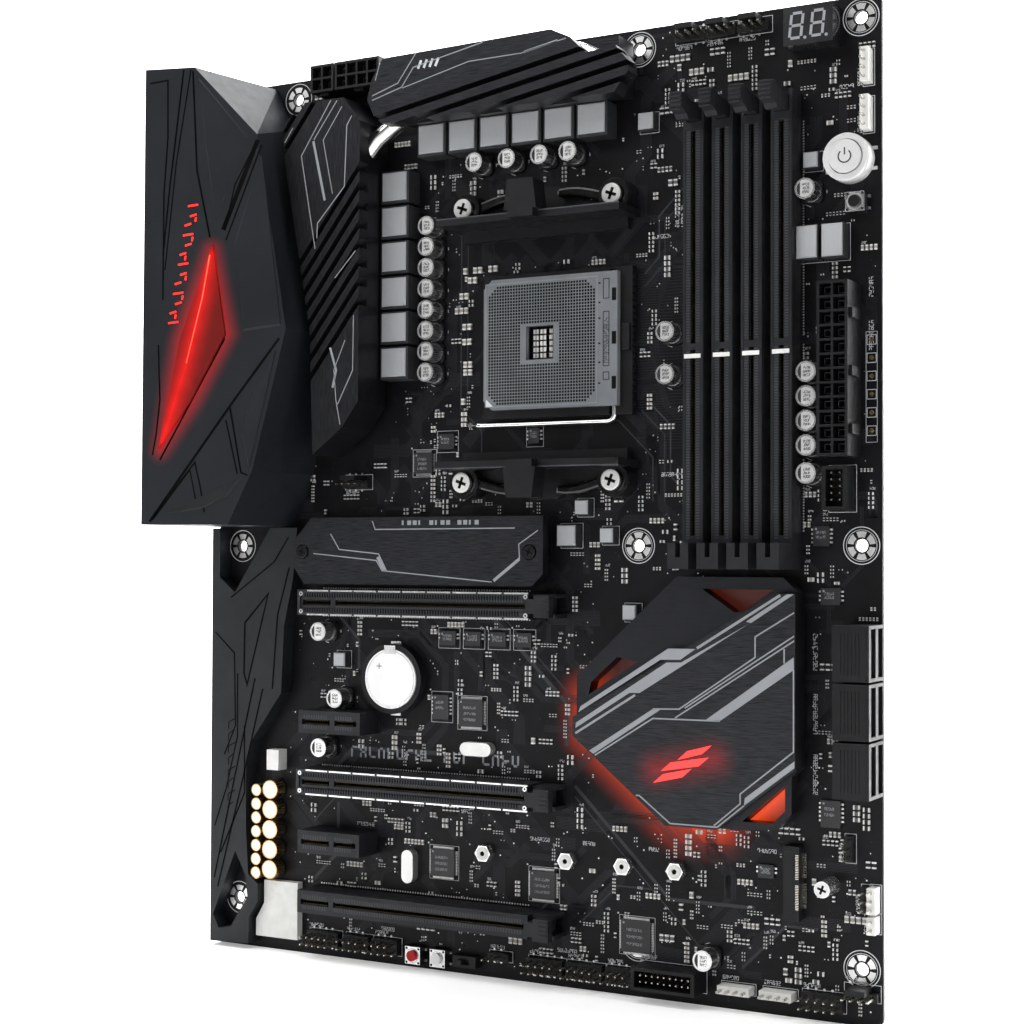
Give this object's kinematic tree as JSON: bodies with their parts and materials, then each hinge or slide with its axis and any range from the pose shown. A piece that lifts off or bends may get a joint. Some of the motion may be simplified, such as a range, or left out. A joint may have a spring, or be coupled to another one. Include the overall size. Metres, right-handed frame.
{
  "type": "motherboard",
  "caption": "Full-size desktop motherboard with processor socket, memory and expansion slots, finned heatsinks, latches, buttons, rear port cover and glowing trim.",
  "frame": {"origin": "centre of the rectangle of the two lower rows of rear and front mounting holes, on the board's back face", "axes": "the board stands upright: +Z to its top edge, +X from the rear port edge to the front edge, and the component side faces -Y"},
  "size_m": [0.2459, 0.0454, 0.3054],
  "materials": {
    "board_laminate": "satin black solder mask",
    "cover_plastic": "fine textured dark grey",
    "light_guide": "lit red light guide",
    "heatsink_black": "brushed black anodised",
    "heatsink_brushed": "brushed dark grey anodised",
    "plated_pipe": "nickel plated",
    "choke_grey": "satin grey",
    "can_silver": "drawn aluminium can",
    "can_gold": "gold coloured can",
    "thermal_pad": "soft pad",
    "connector_black": "moulded black",
    "connector_white": "moulded white",
    "socket_grey": "moulded grey",
    "steel_bright": "bright plated steel",
    "steel_black": "black coated steel",
    "cell_steel": "stamped steel cell",
    "chip_black": "moulded epoxy",
    "button_grey": "satin",
    "button_red": "red button",
    "button_white": "white button",
    "display_black": "smoked filter"
  },
  "bodies": {
    "root": {"audio_capacitors": "can_gold", "audio_cover": "cover_plastic", "audio_jacks": "connector_black", "can_capacitors": "can_silver", "cell_holder": "connector_black", "chips_and_crystals": "chip_black", "coin_cell": "cell_steel", "cooler_backplate": "steel_black", "cooler_bracket_lower": "connector_black", "cooler_bracket_upper": "connector_black", "cooler_screws": "steel_bright", "cover_light_bar": "light_guide", "debug_display": "display_black", "drive_fasteners": "steel_bright", "drive_heatsink": "heatsink_black", "drive_sockets": "connector_black", "expansion_slot_1": "connector_black", "expansion_slot_2": "connector_black", "expansion_slot_3": "connector_black", "expansion_slot_armor": "steel_bright", "fan_headers": "connector_black", "heat_pipe": "plated_pipe", "hub_face_plate": "heatsink_black", "hub_heatsink": "heatsink_brushed", "light_headers": "connector_white", "memory_slot_1": "connector_black", "memory_slot_2": "connector_black", "memory_slot_3": "connector_black", "memory_slot_4": "connector_black", "network_port": "steel_bright", "pcb": "board_laminate", "pin_headers": "connector_black", "power_chokes": "choke_grey", "power_sockets": "connector_black", "rear_cover": "cover_plastic", "sata_ports": "connector_black", "short_expansion_slots": "connector_black", "side_heatsink": "heatsink_black", "socket_base": "connector_black", "switch_bodies": "connector_black", "thermal_pads": "thermal_pad", "top_heatsink": "heatsink_black", "usb_headers": "connector_black", "usb_ports": "steel_bright"},
    "memory_latch_1": {"memory_latch_1": "connector_black"},
    "memory_latch_2": {"memory_latch_2": "connector_black"},
    "memory_latch_3": {"memory_latch_3": "connector_black"},
    "memory_latch_4": {"memory_latch_4": "connector_black"},
    "expansion_latch_1": {"expansion_latch_1": "connector_black"},
    "expansion_latch_2": {"expansion_latch_2": "connector_black"},
    "expansion_latch_3": {"expansion_latch_3": "connector_black"},
    "socket_lever": {"socket_lever": "steel_bright"},
    "socket_slider": {"socket_slider": "socket_grey"},
    "start_button": {"start_button": "button_grey"},
    "reset_button": {"reset_button": "connector_black"},
    "safe_button": {"safe_button": "button_red"},
    "retry_button": {"retry_button": "button_white"},
    "flash_button": {"flash_button": "connector_black"},
    "clear_button": {"clear_button": "connector_black"},
    "slow_switch_knob": {"slow_switch_knob": "connector_black"}
  },
  "joints": [
    {"name": "memory_latch_1_hinge", "type": "hinge", "parent": "root", "child": "memory_latch_1", "pos_m": [0.06308, -0.00497, 0.19496], "axis": [-1, 0, 0], "range_deg": [0, 25]},
    {"name": "memory_latch_2_hinge", "type": "hinge", "parent": "root", "child": "memory_latch_2", "pos_m": [0.07258, -0.00497, 0.19496], "axis": [-1, 0, 0], "range_deg": [0, 25]},
    {"name": "memory_latch_3_hinge", "type": "hinge", "parent": "root", "child": "memory_latch_3", "pos_m": [0.08207, -0.00497, 0.19496], "axis": [-1, 0, 0], "range_deg": [0, 25]},
    {"name": "memory_latch_4_hinge", "type": "hinge", "parent": "root", "child": "memory_latch_4", "pos_m": [0.09158, -0.00497, 0.19496], "axis": [-1, 0, 0], "range_deg": [0, 25]},
    {"name": "expansion_latch_1_hinge", "type": "hinge", "parent": "root", "child": "expansion_latch_1", "pos_m": [0.01137, -0.00447, 0.04286], "axis": [0, 0, 1], "range_deg": [0, 20]},
    {"name": "expansion_latch_2_hinge", "type": "hinge", "parent": "root", "child": "expansion_latch_2", "pos_m": [0.01137, -0.00447, -0.01814], "axis": [0, 0, 1], "range_deg": [0, 20]},
    {"name": "expansion_latch_3_hinge", "type": "hinge", "parent": "root", "child": "expansion_latch_3", "pos_m": [0.01137, -0.00447, -0.05874], "axis": [0, 0, 1], "range_deg": [0, 20]},
    {"name": "socket_lever_hinge", "type": "hinge", "parent": "root", "child": "socket_lever", "pos_m": [0.03358, -0.00317, 0.12776], "axis": [0, 0, 1], "range_deg": [0, 90]},
    {"name": "socket_slider_slide", "type": "slide", "parent": "root", "child": "socket_slider", "axis": [-1, 0, 0], "range_m": [0, 0.001]},
    {"name": "start_button_press", "type": "slide", "parent": "root", "child": "start_button", "axis": [0, 1, 0], "range_m": [0, 0.0005], "stiffness_N_per_m": 400},
    {"name": "reset_button_press", "type": "slide", "parent": "root", "child": "reset_button", "axis": [0, 1, 0], "range_m": [0, 0.00025], "stiffness_N_per_m": 300},
    {"name": "safe_button_press", "type": "slide", "parent": "root", "child": "safe_button", "axis": [0, 1, 0], "range_m": [0, 0.00025], "stiffness_N_per_m": 300},
    {"name": "retry_button_press", "type": "slide", "parent": "root", "child": "retry_button", "axis": [0, 1, 0], "range_m": [0, 0.00025], "stiffness_N_per_m": 300},
    {"name": "flash_button_press", "type": "slide", "parent": "root", "child": "flash_button", "axis": [1, 0, 0], "range_m": [0, 0.0004], "stiffness_N_per_m": 300},
    {"name": "clear_button_press", "type": "slide", "parent": "root", "child": "clear_button", "axis": [1, 0, 0], "range_m": [0, 0.0004], "stiffness_N_per_m": 300},
    {"name": "slow_switch_slide", "type": "slide", "parent": "root", "child": "slow_switch_knob", "axis": [1, 0, 0], "range_m": [0, 0.002]}
  ],
  "couplings": [
    {"joint": "socket_slider_slide", "follows": "socket_lever_hinge", "m_per_rad": 0.000636}
  ]
}
